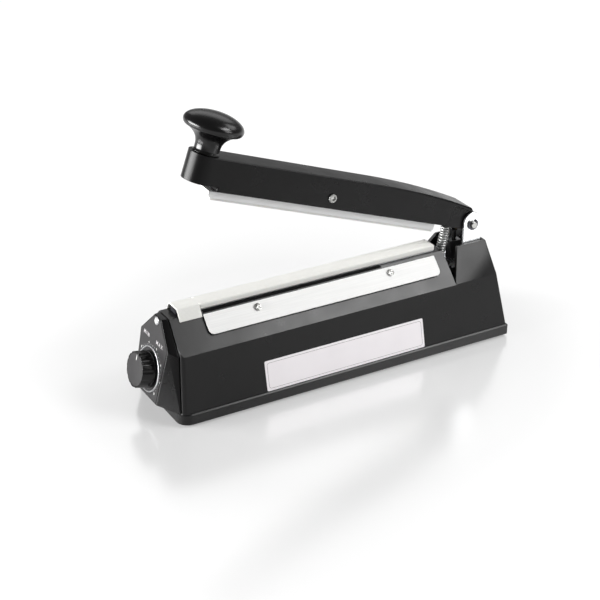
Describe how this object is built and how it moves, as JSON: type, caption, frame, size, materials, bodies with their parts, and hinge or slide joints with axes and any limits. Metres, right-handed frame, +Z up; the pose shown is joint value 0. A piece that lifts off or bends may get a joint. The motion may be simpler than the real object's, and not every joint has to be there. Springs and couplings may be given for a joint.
{
  "type": "impulse heat sealer",
  "caption": "Bench impulse sealer for bags: long faceted base with a heated bed, a sprung arm with a mushroom handle hinged at one end and a timer dial at the other.",
  "frame": {"origin": "on the table plane under the feet, at the middle of the overall box in X and Y", "axes": "+X along the base towards the hinge, with the dial at -X; +Z up; -Y is the long side that the picture shows"},
  "size_m": [0.3104, 0.08, 0.2223],
  "materials": {
    "black_shell": "satin black moulding",
    "black_arm": "satin black moulding",
    "black_gloss": "glossy black moulding",
    "white_plate": "white enamel",
    "release_cloth": "coated glass cloth",
    "silicone": "matt silicone",
    "bright_steel": "zinc plated",
    "spring_steel": "plain wire",
    "dark_steel": "blackened",
    "aluminium": "satin",
    "brass": "plain",
    "nichrome": "dull strip",
    "glass_tape": "woven tape",
    "rubber": "matt",
    "lens_pale": "frosted white",
    "board_green": "laminate",
    "coil_amber": "taped winding",
    "core_grey": "laminated steel"
  },
  "bodies": {
    "base": {"base_screw_dial_front": "bright_steel", "base_screw_dial_rear": "bright_steel", "base_screw_hinge_front": "bright_steel", "base_screw_hinge_rear": "bright_steel", "bed_tape": "glass_tape", "bottom_plate": "dark_steel", "bracket_screw_0": "bright_steel", "bracket_screw_1": "bright_steel", "clamp_plate_front": "white_plate", "clamp_plate_rear": "white_plate", "clamp_screw_front_a": "bright_steel", "clamp_screw_front_b": "bright_steel", "clamp_screw_rear_a": "bright_steel", "clamp_screw_rear_b": "bright_steel", "cord_bush": "rubber", "dial_bezel": "aluminium", "end_cap": "black_gloss", "foot_dial_front": "rubber", "foot_dial_rear": "rubber", "foot_hinge_front": "rubber", "foot_hinge_rear": "rubber", "heater_bed": "aluminium", "heating_element": "nichrome", "hinge_bracket": "bright_steel", "hinge_pin": "bright_steel", "housing": "black_shell", "indicator_lens": "lens_pale", "micro_switch": "black_shell", "pot_nut": "bright_steel", "potentiometer": "aluminium", "release_cloth": "release_cloth", "retaining_clip_front": "dark_steel", "retaining_clip_rear": "dark_steel", "return_spring": "spring_steel", "terminal_dial": "dark_steel", "terminal_hinge": "dark_steel", "timer_board": "board_green", "transformer_coil": "coil_amber", "transformer_core": "core_grey"},
    "arm": {"arm": "black_arm", "pivot_bush": "brass", "handle_knob": "black_gloss", "handle_bolt": "bright_steel", "seal_bar": "white_plate", "silicone_strip": "silicone", "bar_bolt": "bright_steel", "bar_nut": "bright_steel", "bar_spacer_front": "aluminium", "bar_spacer_rear": "aluminium"},
    "dial": {"dial_knob": "black_gloss", "pot_shaft": "bright_steel"},
    "switch_plunger": {"switch_plunger": "black_gloss"}
  },
  "joints": [
    {"name": "arm_hinge", "type": "hinge", "parent": "base", "child": "arm", "pos_m": [0.13381, 0, 0.0923], "axis": [0, -1, 0], "range_deg": [0, 19.5], "stiffness_Nm_per_rad": 1.6, "springref_deg": -28.65, "deforming": ["return_spring"]},
    {"name": "dial_turn", "type": "hinge", "parent": "base", "child": "dial", "pos_m": [-0.14088, 0, 0.033], "axis": [-0.9768, 0, 0.2141], "range_deg": [-135, 135]},
    {"name": "plunger_slide", "type": "slide", "parent": "base", "child": "switch_plunger", "axis": [0, 0, 1], "range_m": [-0.0025, 0], "stiffness_N_per_m": 200, "springref_m": 0.002}
  ]
}
